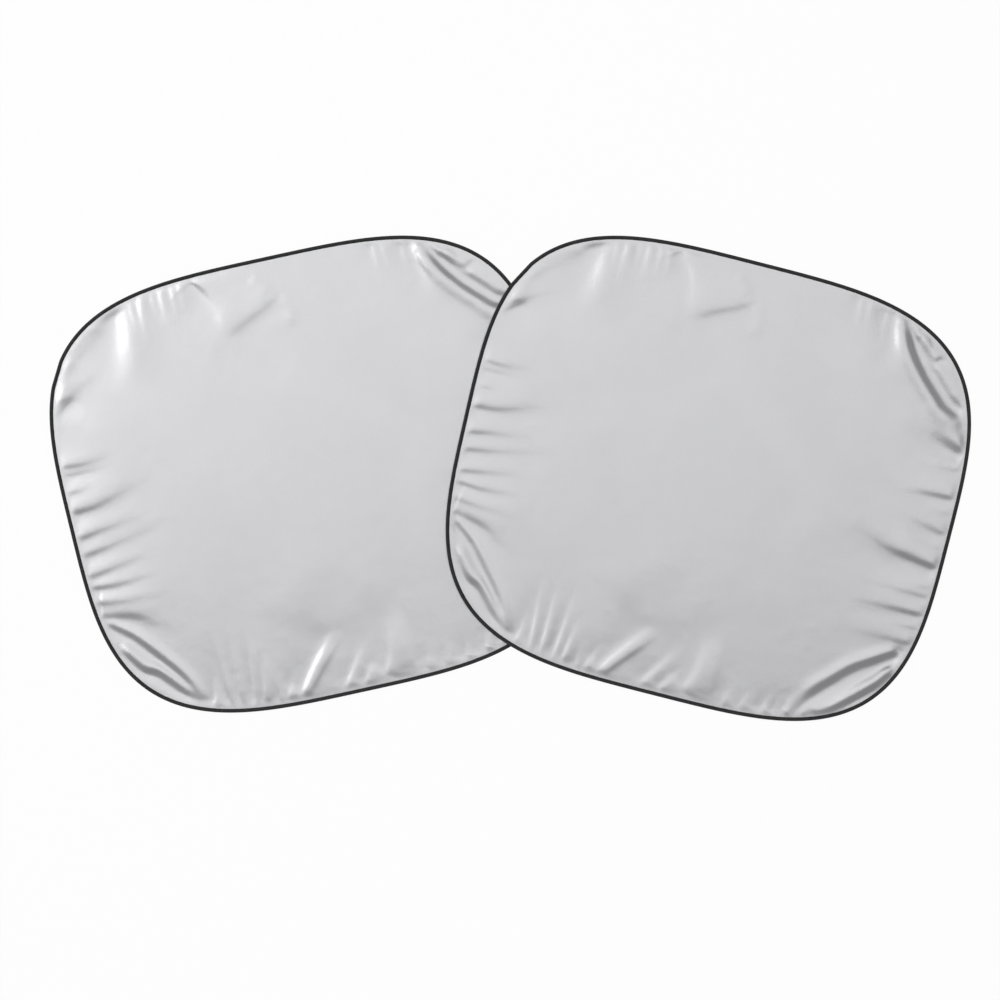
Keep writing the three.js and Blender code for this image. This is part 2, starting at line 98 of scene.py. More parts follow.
# Folds are drawn in millimetres on a panel of this size
DRAWN_WIDTH = 800
DRAWN_HEIGHT = 712
DEEPEST = 2.1  # a fold can't reach the floor under the panel
HIGHEST = 3.2
FROM_EDGE = (0.04, 0.75)
EDGE_TO_EDGE = (0.3, 0.3)
FOLD_REACH = 5  # how many of its widths from its line a fold ends
EDGE_FADE = 12  # in from the free edge, over which the folds rise
PUCKERS = [(331, 0), (419, 1.7), (263, 0.6)]  # how many go round the panel, and a shift
PUCKER_HEIGHT = 0.05
PUCKER_START = 2
PUCKER_REACH = 6


class SunshadeSizes(bpy.types.PropertyGroup):
    """Sizes of one panel"""

    panel_width: FloatProperty(
        name="Panel width", description="Over its rim", default=0.8, min=0.3, unit="LENGTH"
    )
    panel_height: FloatProperty(
        name="Panel height", description="Over its rim", default=0.712, min=0.3, unit="LENGTH"
    )
    rim_radius: FloatProperty(
        name="Rim radius", description="Of the tape round the wire", default=0.00245, unit="LENGTH"
    )
    rim_width: FloatProperty(
        name="Rim width", description="Of the tape as it shows", default=0.006, unit="LENGTH"
    )
    fabric_thickness: FloatProperty(
        name="Fabric thickness", description="Of the silver sheet", default=0.0002, unit="LENGTH"
    )
    stitch_pitch: FloatProperty(
        name="Stitch pitch", description="From one stitch to the next", default=0.0034, unit="LENGTH"
    )
    thread_diameter: FloatProperty(
        name="Thread", description="Diameter of the sewing thread", default=0.0004, unit="LENGTH"
    )
    rim_stations: IntProperty(
        name="Rim stations", description="Divisions round each panel", default=896, min=64
    )


class SunshadeFinishes(bpy.types.PropertyGroup):
    """Colours of the pieces"""

    silver: FloatVectorProperty(
        name="Silver", description="Coated fabric", default=(0.59, 0.59, 0.602), subtype="COLOR"
    )
    tape: FloatVectorProperty(
        name="Tape", description="Rim tape", default=(0.021, 0.021, 0.022), subtype="COLOR"
    )
    thread: FloatVectorProperty(
        name="Thread", description="Sewing thread", default=(0.035, 0.035, 0.037), subtype="COLOR"
    )
    steel: FloatVectorProperty(
        name="Steel", description="Spring wire", default=(0.27, 0.28, 0.3), subtype="COLOR"
    )
    sleeve: FloatVectorProperty(
        name="Sleeve", description="Crimped sleeve", default=(0.4, 0.37, 0.32), subtype="COLOR"
    )
    floor: FloatVectorProperty(
        name="Floor", description="Studio floor", default=(0.9, 0.9, 0.9), subtype="COLOR"
    )


# Folds in the fabric. Each runs along a line of [across, up] points from the panel's middle. A ridge
# stands up along it. A tuck is a sharp step: looking along the line, its left-hand side is raised and
# its right-hand side lowered. A crease is a rounder step. A negative height turns each over. The
# width is given at both ends, and the fade is the share of the line over which it rises and dies away.
def ridge(height, width, points, fade=FROM_EDGE):
    return (lambda d: np.exp(-d * d / 2), height, width, points, fade)


def tuck(height, width, points, fade=FROM_EDGE):
    return (lambda d: d * np.exp(1 - np.abs(d)), height, width, points, fade)


def crease(height, width, points, fade=FROM_EDGE):
    return (lambda d: d * np.exp((1 - d * d) / 2), height, width, points, fade)


FOLDS = [
    # Left side, from the top down
    tuck(0.6, [7, 15], [[-391, 96], [-350, 95], [-300, 101]]),
    tuck(0.4, [6, 11], [[-391, 83], [-355, 82], [-315, 84]]),
    tuck(0.4, [6, 11], [[-392, 54], [-370, 54], [-340, 58]]),
    tuck(1.0, [9, 26], [[-393, 22], [-350, 25], [-300, 40], [-245, 58]]),
    tuck(0.9, [9, 20], [[-392, -22], [-340, -13], [-262, -2]]),
    tuck(0.9, [9, 20], [[-391, -50], [-340, -42], [-240, -20]]),
    tuck(0.9, [9, 18], [[-389, -85], [-340, -77], [-270, -64]]),
    tuck(0.9, [7, 13], [[-389, -103], [-340, -105], [-275, -100]]),
    tuck(0.9, [8, 20], [[-386, -128], [-340, -133], [-255, -136]]),
    # Bottom left corner
    tuck(1.1, [10, 24], [[-382, -150], [-330, -160], [-300, -178], [-255, -206]]),
    crease(
        1.3, [6, 7],
        [[-382, -160], [-340, -190], [-300, -235], [-270, -275], [-246, -322]],
        [0.1, 0.22],
    ),
    crease(
        1.5, [7, 7],
        [[-366, -202], [-335, -243], [-310, -258], [-280, -290], [-252, -322]],
        [0.12, 0.22],
    ),
    # Bottom edge, from the left
    tuck(-0.6, [6, 9], [[-237, -334], [-229, -305], [-224, -255]], [0.28, 0.7]),
    tuck(-0.8, [6, 10], [[-208, -338], [-212, -280], [-216, -205]], [0.28, 0.7]),
    tuck(-0.8, [6, 10], [[-191, -340], [-190, -280], [-190, -205]], [0.28, 0.7]),
    tuck(-0.8, [6, 10], [[-170, -342], [-165, -290], [-159, -218]], [0.28, 0.7]),
    tuck(-0.7, [6, 9], [[-155, -343], [-149, -305], [-142, -258]], [0.28, 0.7]),
    tuck(-0.4, [5, 8], [[-129, -344], [-130, -325], [-131, -295]], [0.28, 0.7]),
    tuck(-0.5, [6, 9], [[-119, -345], [-108, -322], [-96, -292]], [0.28, 0.7]),
    tuck(-0.9, [9, 13], [[-97, -342], [-65, -297], [-22, -245]], [0.2, 0.4]),
    tuck(0.4, [5, 8], [[-84, -344], [-50, -304], [-8, -258]], [0.2, 0.5]),
    tuck(-0.6, [6, 10], [[-28, -348], [0, -308], [34, -262]], [0.28, 0.7]),
    tuck(-0.5, [6, 9], [[4, -349], [20, -325], [42, -298]], [0.28, 0.7]),
    tuck(-0.7, [9, 22], [[42, -338], [58, -300], [66, -225]], [0.25, 0.5]),
    tuck(0.4, [10, 22], [[93, -336], [92, -300], [89, -235]], [0.3, 0.5]),
    tuck(-0.3, [5, 7], [[111, -347], [113, -330], [116, -304]], [0.28, 0.7]),
    tuck(-0.3, [5, 7], [[140, -346], [143, -330], [146, -308]], [0.28, 0.7]),
    tuck(-0.5, [6, 9], [[174, -344], [178, -325], [184, -296]], [0.28, 0.7]),
    tuck(-0.4, [5, 8], [[194, -342], [197, -322], [202, -296]], [0.28, 0.7]),
    # Bottom right corner
    tuck(-0.8, [6, 9], [[208, -340], [213, -318], [221, -290]]),
    tuck(-0.7, [6, 8], [[232, -335], [242, -312], [262, -285]]),
    crease(
        -1.7, [8, 8],
        [[366, -194], [332, -215], [300, -236], [274, -261], [252, -283], [238, -304], [228, -330]],
        [0.06, 0.45],
    ),
    tuck(0.6, [6, 6], [[372, -200], [338, -236], [302, -272], [258, -328]], [0.12, 0.12]),
    tuck(0.5, [5, 5], [[352, -232], [320, -262], [290, -296], [266, -324]], [0.2, 0.12]),
    crease(
        -2.0, [9, 9],
        [[372, -228], [346, -254], [312, -284], [288, -306], [262, -331]],
        [0.1, 0.1],
    ),
    # Right side, from the bottom up
    tuck(-0.5, [7, 12], [[381, -190], [360, -187], [325, -185]]),
    tuck(-0.7, [7, 22], [[385, -176], [330, -176], [230, -182]], [0.03, 0.9]),
    tuck(-0.4, [6, 10], [[388, -150], [365, -150], [330, -151]]),
    tuck(-0.8, [7, 15], [[390, -127], [330, -127], [250, -129]], [0.03, 0.8]),
    tuck(-0.5, [7, 14], [[391, -97], [345, -96], [260, -94]], [0.03, 0.8]),
    tuck(-0.3, [6, 10], [[392, -82], [370, -82], [345, -82]]),
    tuck(-1.5, [9, 24], [[395, -49], [345, -42], [300, -33], [222, 0]], [0.02, 0.6]),
    tuck(-0.4, [7, 11], [[394, -17], [375, -16], [345, -13]]),
    tuck(-0.8, [8, 22], [[395, 6], [355, 14], [290, 26]]),
    tuck(-0.4, [7, 11], [[394, 40], [375, 40], [345, 39]]),
    tuck(-0.8, [7, 13], [[393, 66], [350, 65], [295, 60]]),
    tuck(-0.3, [6, 12], [[391, 112], [360, 111], [305, 108]]),
    # Top right corner
    crease(-1.8, [8, 24], [[389, 141], [360, 150], [330, 165], [290, 190]], [0.03, 0.7]),
    crease(
        2.4, [11, 9],
        [[378, 187], [340, 203], [320, 221], [300, 240], [280, 262], [262, 286], [246, 312], [238, 336]],
        [0.12, 0.3],
    ),
    tuck(-0.6, [6, 7], [[372, 208], [345, 222], [322, 245], [302, 266]], [0.12, 0.2]),
    tuck(0.9, [6, 7], [[256, 328], [268, 308], [282, 290], [298, 268]], [0.1, 0.4]),
    tuck(-0.7, [5, 6], [[262, 326], [270, 312], [280, 298]], [0.1, 0.5]),
    tuck(-0.5, [5, 6], [[282, 316], [290, 303], [300, 288]], [0.1, 0.5]),
    tuck(0.6, [6, 7], [[306, 270], [314, 279], [330, 284]], EDGE_TO_EDGE),
    crease(1.7, [9, 22], [[231, 339], [238, 308], [246, 275], [244, 222]], [0.05, 0.6]),
    tuck(0.8, [6, 12], [[212, 341], [214, 305], [216, 262]], [0.06, 0.75]),
    tuck(0.5, [6, 8], [[182, 343], [184, 322], [186, 292]]),
    tuck(0.5, [6, 8], [[167, 344], [168, 320], [169, 290]]),
    # Top edge
    tuck(-0.7, [12, 16], [[14, 296], [-20, 277], [-52, 262], [-94, 240]], EDGE_TO_EDGE),
    ridge(0.4, [7, 9], [[5, 292], [19, 265], [12, 236]], EDGE_TO_EDGE),
    ridge(0.4, [6, 9], [[-34, 330], [-20, 315], [-6, 298]], EDGE_TO_EDGE),
    tuck(1.0, [8, 22], [[-127, 345], [-102, 305], [-90, 240]]),
    tuck(0.6, [6, 8], [[-149, 343], [-148, 322], [-147, 290]]),
    tuck(0.8, [6, 9], [[-162, 343], [-162, 320], [-161, 286]]),
    tuck(1.1, [7, 11], [[-181, 342], [-181, 315], [-180, 278]]),
    tuck(0.8, [6, 8], [[-195, 341], [-195, 322], [-194, 292]]),
    tuck(1.4, [8, 12], [[-216, 340], [-217, 305], [-217, 252]]),
    tuck(1.0, [7, 10], [[-232, 337], [-231, 310], [-229, 272]]),
    # Top left corner
    crease(1.8, [10, 26], [[-246, 336], [-253, 290], [-262, 195]], [0.04, 0.5]),
    tuck(0.7, [7, 10], [[-352, 262], [-322, 288], [-292, 311]], EDGE_TO_EDGE),
    tuck(0.7, [12, 20], [[-372, 218], [-345, 250], [-300, 284], [-262, 320]], EDGE_TO_EDGE),
    tuck(1.1, [10, 24], [[-386, 188], [-362, 202], [-335, 216], [-285, 240]], [0.3, 0.65]),
    tuck(0.5, [6, 8], [[-386, 178], [-370, 188], [-345, 206]], EDGE_TO_EDGE),
    # Broad waves in the middle
    crease(0.45, [28, 40], [[-100, -240], [-45, -200], [25, -150]], EDGE_TO_EDGE),
    crease(0.4, [24, 34], [[-60, -255], [10, -237], [80, -200]], EDGE_TO_EDGE),
    crease(0.4, [30, 40], [[-110, 250], [-60, 235], [20, 215]], EDGE_TO_EDGE),
]


def smoothstep(x, low, high):
    t = np.clip((x - low) / (high - low), 0, 1)
    return t * t * (3 - 2 * t)


def smooth_line(points, steps=12):
    """Points along a curve that passes through the given ones."""
    p = np.array(points, float)
    before = np.vstack([p[:1], p[:-1]])
    after = np.vstack([p[1:], p[-1:]])
    slope = (after - before) / 2
    t = np.linspace(0, 1, steps, endpoint=False)[:, None]
    line = [
        (2 * t**3 - 3 * t**2 + 1) * p[i]
        + (t**3 - 2 * t**2 + t) * slope[i]
        + (3 * t**2 - 2 * t**3) * p[i + 1]
        + (t**3 - t**2) * slope[i + 1]
        for i in range(len(p) - 1)
    ]
    return np.vstack([*line, p[-1:]])


def add_fold(heights, points, fold, stretch):
    """Adds one fold to the heights of the points, all in drawn millimetres."""
    profile, height, width, route, fade = fold
    line = smooth_line(route) * stretch
    reach = FOLD_REACH * max(width)
    near = np.all((points > line.min(0) - reach) & (points < line.max(0) + reach), axis=1)
    at = points[near]
    distance = np.full(len(at), np.inf)
    side = np.ones(len(at))
    travelled = np.zeros(len(at))
    for i, (start, end) in enumerate(zip(line[:-1], line[1:])):
        along = end - start
        from_start = at - start
        share = np.clip(from_start @ along / (along @ along), 0, 1)
        away = from_start - share[:, None] * along
        here = np.hypot(away[:, 0], away[:, 1])
        closer = here < distance
        distance[closer] = here[closer]
        turn = along[0] * from_start[:, 1] - along[1] * from_start[:, 0]
        side[closer] = np.where(turn[closer] < 0, -1, 1)
        travelled[closer] = (i + share[closer]) / (len(line) - 1)
    spread = width[0] + (width[1] - width[0]) * travelled
    ends = smoothstep(travelled, 0, fade[0]) * smoothstep(1 - travelled, 0, fade[1])
    heights[near] += height * ends * profile(side * distance / spread)


def fabric_heights(points, inset, sizes):
    """Heights of the folded fabric, in metres, at points and distances in from its free edge."""
    stretch = np.array(
        [sizes.panel_width / MM / DRAWN_WIDTH, sizes.panel_height / MM / DRAWN_HEIGHT]
    )
    flat = points.reshape(-1, 2) / MM
    heights = np.zeros(len(flat))
    for fold in FOLDS:
        add_fold(heights, flat, fold, stretch)
    heights = np.where(
        heights > 0, HIGHEST * np.tanh(heights / HIGHEST), DEEPEST * np.tanh(heights / DEEPEST)
    )
    around = np.arctan2(flat[:, 1], flat[:, 0])
    depth = np.repeat(inset / MM, len(flat) // len(inset))
    ripple = sum(np.sin(count * around + shift) for count, shift in PUCKERS)
    rise = smoothstep(depth, 0, PUCKER_START) * np.exp(-depth / PUCKER_REACH)
    puckers = PUCKER_HEIGHT * ripple * rise
    return ((heights + puckers) * smoothstep(depth, 0, EDGE_FADE) * MM).reshape(points.shape[:-1])


def hoop_line(sizes, count):
    """Points and outward directions along the wire, evenly spaced from the sleeve's middle."""
    half_width = sizes.panel_width / 2 - sizes.rim_radius
    half_height = sizes.panel_height / 2 - sizes.rim_radius
    angle = math.radians(SLEEVE_DIRECTION) + np.linspace(0, 2 * np.pi, OUTLINE_SAMPLES)
    across, up = np.cos(angle), np.sin(angle)
    reach = (
        np.abs(across / half_width) ** OUTLINE_POWER + np.abs(up / half_height) ** OUTLINE_POWER
    ) ** (-1 / OUTLINE_POWER)
    up = reach * up
    across = reach * across * (1 + TOP_FLARE * up / half_height) + TOP_SHIFT * up
    curve = np.stack([across, up], axis=1)
    gone = np.concatenate([[0], np.cumsum(np.hypot(*np.diff(curve, axis=0).T))])
    bent = curve[(gone > STRAIGHT_LENGTH / 2) & (gone < gone[-1] - STRAIGHT_LENGTH / 2)]
    middle = (bent[0] + bent[-1]) / 2
    loop = np.vstack([middle, bent, middle])
    gone = np.concatenate([[0], np.cumsum(np.hypot(*np.diff(loop, axis=0).T))])
    at = np.linspace(0, gone[-1], count, endpoint=False)
    points = np.stack([np.interp(at, gone, loop[:, 0]), np.interp(at, gone, loop[:, 1])], axis=1)
    along = np.roll(points, -1, axis=0) - np.roll(points, 1, axis=0)
    along /= np.hypot(along[:, 0], along[:, 1])[:, None]
    return points, np.stack([along[:, 1], -along[:, 0]], axis=1), gone[-1]


def panel_place(name, turn, sizes):
    """Where a panel lies: from its own frame, with the wire's line at z = 0, to the object's."""
    low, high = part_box(f"{name}_binding")
    points, outward, _ = hoop_line(sizes, MEASURING_STATIONS)
    to_frame = np.array(Matrix.Rotation(math.radians(turn), 2))
    turned = (points + outward * sizes.rim_radius) @ to_frame.T
    rise = (high.z - low.z) - 2 * sizes.rim_radius
    lean = math.asin(max(0.0, rise) / (high.x - low.x))
    middle = (turned.min(0) + turned.max(0)) / 2
    box_middle = (low + high) / 2
    place = Matrix.Rotation(lean, 4, "Y") @ Matrix.Rotation(math.radians(turn), 4, "Z")
    place.translation = (box_middle.x - middle[0], box_middle.y - middle[1], 0)
    place.translation.z = box_middle.z + middle[0] * math.sin(lean)
    return place


def add_piece(name, vertices, faces, panel, material, sizes, uvs=None):
    """A smooth mesh that is made in a panel's own frame, riding on the body."""
    mesh = bpy.data.meshes.new(name)
    mesh.from_pydata(vertices.reshape(-1, 3).tolist(), [], faces.tolist())
    mesh.polygons.foreach_set("use_smooth", [True] * len(mesh.polygons))
    if uvs is None:
        uvs = vertices.reshape(-1, 3)[faces.ravel(), :2]
    layer = mesh.uv_layers.new(name="in_metres")
    layer.data.foreach_set("uv", uvs.ravel().astype(np.float32))
    mesh.materials.append(material)
    mesh.transform(panel_place(panel, PANELS[panel], sizes))
    piece = bpy.data.objects.new(name, mesh)
    bpy.context.scene.collection.objects.link(piece)
    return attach(piece, BODY)


def fabric_rings(sizes):
    """The insets of the fabric's rings, each with how many of the rim's stations a point stands for."""
    innermost = INNERMOST * sizes.panel_height / 2 / MM
    coarse_rings = np.linspace(COARSE_START, innermost, COARSE_RINGS)
    groups = ((FINE_RINGS, 1), (MIDDLING_RINGS, 2), (coarse_rings, 4))
    return [(inset, step) for insets, step in groups for inset in insets * MM]


def ring_band(first, count, next_first, next_count):
    """Triangles between a ring and the next one in, which has as many points or half as many."""
    here = np.arange(next_count)
    after = (here + 1) % next_count
    if count == next_count:
        return np.vstack([
            np.stack([first + here, first + after, next_first + here], axis=1),
            np.stack([first + after, next_first + after, next_first + here], axis=1),
        ])
    return np.vstack([
        np.stack([first + 2 * here, first + 2 * here + 1, next_first + here], axis=1),
        np.stack([first + 2 * here + 1, next_first + after, next_first + here], axis=1),
        np.stack([first + 2 * here + 1, first + 2 * after, next_first + after], axis=1),
    ])


def fabric_mesh(sizes):
    """Vertices and triangles of the closed sheet: its top face, its underside and its rim."""
    points, outward, _ = hoop_line(sizes, sizes.rim_stations)
    lip_end = sizes.rim_radius - sizes.rim_width
    free_edge = points + outward * (lip_end - FABRIC_CLEAR)
    held_edge = points + outward * (lip_end + FABRIC_HELD)
    rings = [np.column_stack([held_edge, np.zeros(len(held_edge))])]
    for inset, step in fabric_rings(sizes):
        ring = free_edge[::step] * (1 - 2 * inset / sizes.panel_height)
        height = fabric_heights(ring, np.array([inset]), sizes)
        rings.append(np.column_stack([ring, height]))
    counts = [len(ring) for ring in rings]
    first = np.concatenate([[0], np.cumsum(counts)])
    middle = first[-1]
    height = fabric_heights(np.zeros((1, 2)), np.array([sizes.panel_height / 2]), sizes)
    top = np.vstack([*rings, [[0, 0, height[0]]]])
    faces = [
        ring_band(first[i], counts[i], first[i + 1], counts[i + 1]) for i in range(len(rings) - 1)
    ]
    here = np.arange(counts[-1])
    after = (here + 1) % counts[-1]
    faces.append(
        np.stack([first[-2] + here, first[-2] + after, np.full(counts[-1], middle)], axis=1)
    )
    face = np.vstack(faces)
    lift = np.array([0, 0, sizes.fabric_thickness / 2])
    vertices = np.vstack([top + lift, top - lift])
    under = face[:, ::-1] + len(top)
    edge = np.arange(counts[0])
    after = (edge + 1) % counts[0]
    rim = np.vstack([
        np.stack([edge + len(top), after + len(top), edge], axis=1),
        np.stack([after + len(top), after, edge], axis=1),
    ])
    return vertices, np.vstack([face, under, rim])


def panel_area(sizes):
    """Area inside the fabric's edge, in square metres."""
    points, outward, _ = hoop_line(sizes, MEASURING_STATIONS)
    edge = points + outward * (sizes.rim_radius - sizes.rim_width + FABRIC_HELD)
    after = np.roll(edge, -1, axis=0)
    return abs(np.sum(edge[:, 0] * after[:, 1] - after[:, 0] * edge[:, 1])) / 2


def arc(radius, degrees):
    return [(radius * math.cos(angle), radius * math.sin(angle)) for angle in np.radians(degrees)]


def tape_section(sizes):
    """The folded tape: round the wire outside, down to the stitched lips, and back inside."""
    lip_end = sizes.rim_radius - sizes.rim_width
    upper = arc(sizes.rim_radius, OUTSIDE_ARC)
    upper += [(out * MM, up * MM) for out, up in SHOULDER]
    upper += [(lip_end + out * MM, up * MM) for out, up in LIP_EDGE]
    upper += arc(TUNNEL_RADIUS, TUNNEL_ARC)
    lower = [(out, -up) for out, up in reversed(upper[1:])]
    return np.array([*upper, (TUNNEL_RADIUS, 0), *lower])


def tape_mesh(sizes):
    """Vertices, quads and coordinates along and round the tape."""
    count = sizes.rim_stations
    points, outward, length = hoop_line(sizes, count)
    section = tape_section(sizes)
    sides = len(section)
    station = np.arange(count) * length / count
    sway = sum(far * np.sin(station / MM / run + shift) for far, run, shift in LIP_SWAYS)
    on_lip = smoothstep(-section[:, 0], SWAY_START, SWAY_WHOLE)
    out = section[None, :, 0] + sway[:, None] * on_lip * MM
    vertices = np.empty((count, sides, 3))
    vertices[:, :, :2] = points[:, None] + outward[:, None] * out[:, :, None]
    vertices[:, :, 2] = section[None, :, 1]
    i, j = np.meshgrid(np.arange(count), np.arange(sides), indexing="ij")
    ni, nj = (i + 1) % count, (j + 1) % sides
    faces = np.stack([i * sides + j, ni * sides + j, ni * sides + nj, i * sides + nj], axis=-1)
    side_lengths = np.hypot(*(np.roll(section, -1, axis=0) - section).T)
    round_it = np.concatenate([[0], np.cumsum(side_lengths)])
    along = np.append(station, length)
    u = np.stack([along[i], along[i + 1], along[i + 1], along[i]], axis=-1)
    v = np.stack([round_it[j], round_it[j], round_it[j + 1], round_it[j + 1]], axis=-1)
    return vertices, faces.reshape(-1, 4), np.stack([u, v], axis=-1)


def stitch_mesh(sizes):
    """Rows of short curved stitches along both lips of the tape."""
    _, _, length = hoop_line(sizes, MEASURING_STATIONS)
    count = round(length / sizes.stitch_pitch)
    points, outward, _ = hoop_line(sizes, count)
    along = np.stack([-outward[:, 1], outward[:, 0]], axis=1)
    out_at = sizes.rim_radius - sizes.rim_width + STITCH_INSET
    radius = sizes.thread_diameter / 2
    steps = np.linspace(-1, 1, STITCH_STEPS)
    run = steps * sizes.stitch_pitch * STITCH_HALF_LENGTH
    rise = LIP_HEIGHT + radius * THREAD_STANDS - STITCH_DIP * np.abs(steps) ** 3
    angle = np.radians(THREAD_CORNERS)
    ring = np.stack([np.cos(angle), np.sin(angle)], axis=1) * radius
    template = np.array([
        (r, out_at + c, h + s) for r, h in zip(run, rise) for c, s in ring
    ])
    sides = len(ring)
    a, b = np.meshgrid(np.arange(STITCH_STEPS - 1), np.arange(sides), indexing="ij")
    here, after = a * sides + b, a * sides + (b + 1) % sides
    body = np.stack([here, after, after + sides, here + sides], axis=-1).reshape(-1, 4)
    rows = []
    for sign in (1, -1):
        plan = (
            points[:, None]
            + along[:, None] * template[None, :, 0, None]
            + outward[:, None] * template[None, :, 1, None]
        )
        height = np.broadcast_to(sign * template[:, 2], plan.shape[:2])
        rows.append(np.concatenate([plan, height[..., None]], axis=-1).reshape(-1, 3))
    per_row = len(template) * count
    first = np.arange(count)[:, None, None] * len(template)
    upper = (first + body[None]).reshape(-1, 4)
    lower = upper[:, ::-1] + per_row
    return np.vstack(rows), np.vstack([upper, lower])


def new_material(name, base, metallic, roughness):
    """A material with its nodes, its links and its shader."""
    material = bpy.data.materials.new(name)
    material.use_nodes = True
    nodes = material.node_tree.nodes
    shader = nodes["Principled BSDF"]
    shader.inputs["Base Color"].default_value = (*base, 1)
    shader.inputs["Metallic"].default_value = metallic
    shader.inputs["Roughness"].default_value = roughness
    return material, nodes, material.node_tree.links, shader


def add_node(nodes, kind, **values):
    """A node with its settings, and its inputs where a value's name is an input's."""
    node = nodes.new(kind)
    for name, value in values.items():
        label = name.replace("_", " ")
        matches = [socket for socket in node.inputs if socket.name.lower() == label.lower()]
        if matches:
            matches[0].default_value = value
        else:
            setattr(node, name, value)
    return node


def add_texture(nodes, links, kind, place, **values):
    """A texture's value at the place."""
    texture = add_node(nodes, kind, **values)
    links.new(place, texture.inputs["Vector"])
    return texture.outputs["Fac"]


def vary(nodes, links, place, scale, detail, low, high):
    """A number that wanders between low and high over the surface."""
    noise = add_texture(nodes, links, "ShaderNodeTexNoise", place, scale=scale, detail=detail)
    spread = add_node(
        nodes, "ShaderNodeMapRange", from_min=0.3, from_max=0.7, to_min=low, to_max=high
    )
    links.new(noise, spread.inputs["Value"])
    return spread.outputs["Result"]


def tint(nodes, links, shader, colour, amount):
    """Gives the shader the colour, brighter or darker by the amount."""
    scaled = add_node(nodes, "ShaderNodeVectorMath", operation="SCALE")
    scaled.inputs[0].default_value = colour
    links.new(amount, scaled.inputs["Scale"])
    links.new(scaled.outputs[0], shader.inputs["Base Color"])


def add_bump(nodes, links, height, strength, distance):
    bump = add_node(nodes, "ShaderNodeBump", strength=strength, distance=distance)
    links.new(height, bump.inputs["Height"])
    return bump


def silver_fabric(colour):
    """Aluminised coating on a fine plain weave."""
    material, nodes, links, shader = new_material("silver_coated_taffeta", colour, 0.85, 0.3)
    shader.inputs["Specular IOR Level"].default_value = 0.4
    shader.inputs["Sheen Weight"].default_value = 0.08
    shader.inputs["Sheen Roughness"].default_value = 0.5
    place = add_node(nodes, "ShaderNodeTexCoord").outputs["UV"]

    tone = vary(nodes, links, place, scale=9, detail=3, low=0.985, high=1.015)
    fleck = vary(nodes, links, place, scale=420, detail=2, low=0.985, high=1.015)
    both = add_node(nodes, "ShaderNodeMath", operation="MULTIPLY")
    links.new(tone, both.inputs[0])
    links.new(fleck, both.inputs[1])
    tint(nodes, links, shader, colour, both.outputs[0])
    gloss = vary(nodes, links, place, scale=14, detail=4, low=0.285, high=0.31)
    links.new(gloss, shader.inputs["Roughness"])

    weave = add_node(nodes, "ShaderNodeMath", operation="MULTIPLY")
    for i, direction in enumerate("XY"):
        threads = add_texture(
            nodes, links, "ShaderNodeTexWave", place, bands_direction=direction, scale=1000
        )
        links.new(threads, weave.inputs[i])
    crumple = add_texture(nodes, links, "ShaderNodeTexNoise", place, scale=45, detail=3)
    soft = add_bump(nodes, links, crumple, strength=0.35, distance=0.0006)
    fine = add_bump(nodes, links, weave.outputs[0], strength=0.35, distance=0.00003)
    links.new(soft.outputs["Normal"], fine.inputs["Normal"])
    links.new(fine.outputs["Normal"], shader.inputs["Normal"])
    return material


def rim_tape(colour):
    """Ribbed polyester tape, with ribs across its length."""
    material, nodes, links, shader = new_material("ribbed_rim_tape", colour, 0, 0.72)
    shader.inputs["Specular IOR Level"].default_value = 0.35
    shader.inputs["Sheen Weight"].default_value = 0.12
    shader.inputs["Sheen Roughness"].default_value = 0.4
    place = add_node(nodes, "ShaderNodeTexCoord").outputs["UV"]
    tone = vary(nodes, links, place, scale=120, detail=3, low=0.8, high=1.25)
    tint(nodes, links, shader, colour, tone)
    ribs = add_texture(
        nodes, links, "ShaderNodeTexWave", place, bands_direction="X", scale=520, distortion=0.5
    )
    fuzz = add_texture(nodes, links, "ShaderNodeTexNoise", place, scale=2600, detail=3)
    blend = add_node(nodes, "ShaderNodeMath", operation="ADD")
    links.new(ribs, blend.inputs[0])
    links.new(fuzz, blend.inputs[1])
    bump = add_bump(nodes, links, blend.outputs[0], strength=0.5, distance=0.00008)
    links.new(bump.outputs["Normal"], shader.inputs["Normal"])
    return material


def sewing_thread(colour):
    """Twisted black thread."""
    material, nodes, links, shader = new_material("sewing_thread", colour, 0, 0.55)
    place = add_node(nodes, "ShaderNodeTexCoord").outputs["Object"]
    twist = add_texture(
        nodes, links, "ShaderNodeTexWave", place, bands_direction="DIAGONAL", scale=1400
    )
    bump = add_bump(nodes, links, twist, strength=0.5, distance=0.00005)
    links.new(bump.outputs["Normal"], shader.inputs["Normal"])
    return material


def drawn_steel(name, colour, roughness, scratch_scale):
    """Steel with faint drawing marks."""
    material, nodes, links, shader = new_material(name, colour, 1, roughness)
    place = add_node(nodes, "ShaderNodeTexCoord").outputs["Object"]
    wear = vary(
        nodes, links, place, scratch_scale, detail=5, low=roughness * 0.8, high=roughness * 1.25
    )
    links.new(wear, shader.inputs["Roughness"])
    marks = add_texture(
        nodes, links, "ShaderNodeTexNoise", place, scale=scratch_scale * 4, detail=4
    )
    bump = add_bump(nodes, links, marks, strength=0.3, distance=0.00004)
    links.new(bump.outputs["Normal"], shader.inputs["Normal"])
    return material


def studio_floor(colour):
    """A pale matte floor that the camera sees as nearly white, under the object's soft shadow."""
    material, nodes, links, shader = new_material("studio_floor", colour, 0, 0.9)
    shader.inputs["Specular IOR Level"].default_value = 0
    glow = add_node(nodes, "ShaderNodeEmission", color=(1, 1, 1, 1), strength=1)
    mix = nodes.new("ShaderNodeMixShader")
    links.new(seen_by_eye(nodes, links, share=0.95), mix.inputs[0])
    links.new(shader.outputs[0], mix.inputs[1])
    links.new(glow.outputs[0], mix.inputs[2])
    links.new(mix.outputs[0], nodes["Material Output"].inputs["Surface"])
    return material


